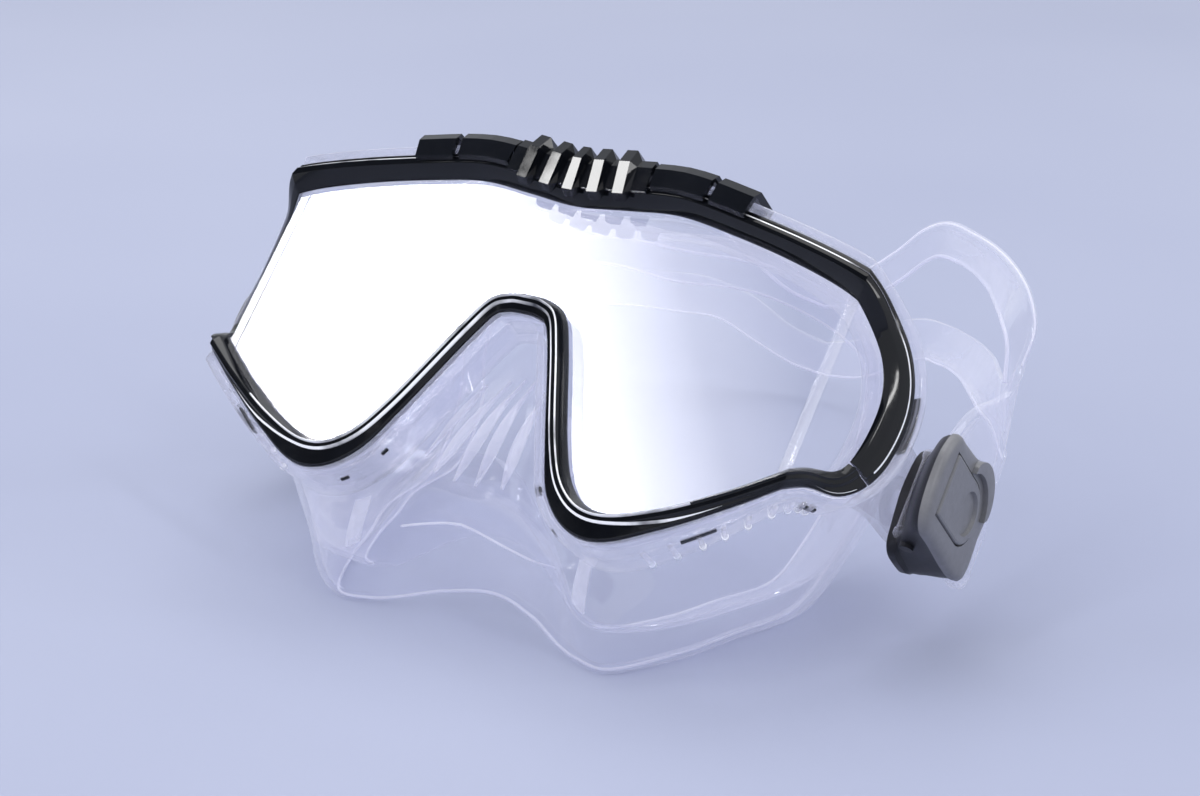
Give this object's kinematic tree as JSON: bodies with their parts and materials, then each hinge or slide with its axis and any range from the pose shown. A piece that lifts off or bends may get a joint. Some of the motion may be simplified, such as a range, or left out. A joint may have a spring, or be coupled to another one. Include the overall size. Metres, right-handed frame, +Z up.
{
  "type": "snorkel mask",
  "caption": "Low clear diving mask with a flat front pane, angled side windows, black bezel with ribbed brow, silicone skirt with nose pocket and a split strap on swivel buckles.",
  "frame": {"origin": "middle of the bottom of the whole object, at rest on a table on the rim of its skirt", "axes": "+X to the wearer's left, +Y from the lens back to the strap, +Z up; the lens leans back 45.3 degrees"},
  "size_m": [0.1764, 0.1692, 0.093],
  "materials": {
    "glass": "polished tempered glass",
    "clear_bond": "clear cured adhesive",
    "clear_frame": "clear moulded polycarbonate",
    "black_bezel": "high gloss",
    "clear_silicone": "clear soft silicone, faintly milky",
    "grey_plastic": "satin",
    "spring_steel": "bright drawn steel"
  },
  "bodies": {
    "mask": {"bezel_lower": "black_bezel", "bezel_upper": "black_bezel", "brow_grip": "black_bezel", "brow_pad_inner_left": "black_bezel", "brow_pad_inner_right": "black_bezel", "brow_pad_outer_left": "black_bezel", "brow_pad_outer_right": "black_bezel", "frame": "clear_frame", "lens_front": "glass", "side_window_left": "glass", "side_window_right": "glass", "skirt": "clear_silicone", "swivel_cap_left": "spring_steel", "swivel_cap_right": "spring_steel", "swivel_post_left": "grey_plastic", "swivel_post_right": "grey_plastic", "window_bond_left": "clear_bond", "window_bond_right": "clear_bond"},
    "strap_and_buckles": {"strap": "clear_silicone", "buckle_body_left": "grey_plastic", "buckle_body_right": "grey_plastic", "lever_pin_left": "spring_steel", "lever_pin_right": "spring_steel", "lever_spring_left": "spring_steel", "lever_spring_right": "spring_steel"},
    "lever_left": {"release_lever_left": "grey_plastic"},
    "lever_right": {"release_lever_right": "grey_plastic"},
    "roller_left": {"strap_roller_left": "grey_plastic"},
    "roller_right": {"strap_roller_right": "grey_plastic"}
  },
  "joints": [
    {"name": "strap_swivel", "type": "hinge", "parent": "mask", "child": "strap_and_buckles", "pos_m": [0, -0.02526, 0.02845], "axis": [1, 0, 0], "range_deg": [-3, 45]},
    {"name": "lever_left_press", "type": "hinge", "parent": "strap_and_buckles", "child": "lever_left", "pos_m": [0.0854, -0.03545, 0.03876], "axis": [0, 0.7108, 0.7034], "range_deg": [0, 4], "stiffness_Nm_per_rad": 0.05, "springref_deg": -2.86},
    {"name": "lever_right_press", "type": "hinge", "parent": "strap_and_buckles", "child": "lever_right", "pos_m": [-0.0854, -0.03545, 0.03876], "axis": [0, -0.7108, -0.7034], "range_deg": [0, 4], "stiffness_Nm_per_rad": 0.05, "springref_deg": -2.86},
    {"name": "roller_left_turn", "type": "hinge", "parent": "strap_and_buckles", "child": "roller_left", "pos_m": [0.08, -0.02948, 0.03272], "axis": [0, 0.7108, 0.7034], "continuous": true},
    {"name": "roller_right_turn", "type": "hinge", "parent": "strap_and_buckles", "child": "roller_right", "pos_m": [-0.08, -0.02948, 0.03272], "axis": [0, 0.7108, 0.7034], "continuous": true}
  ]
}
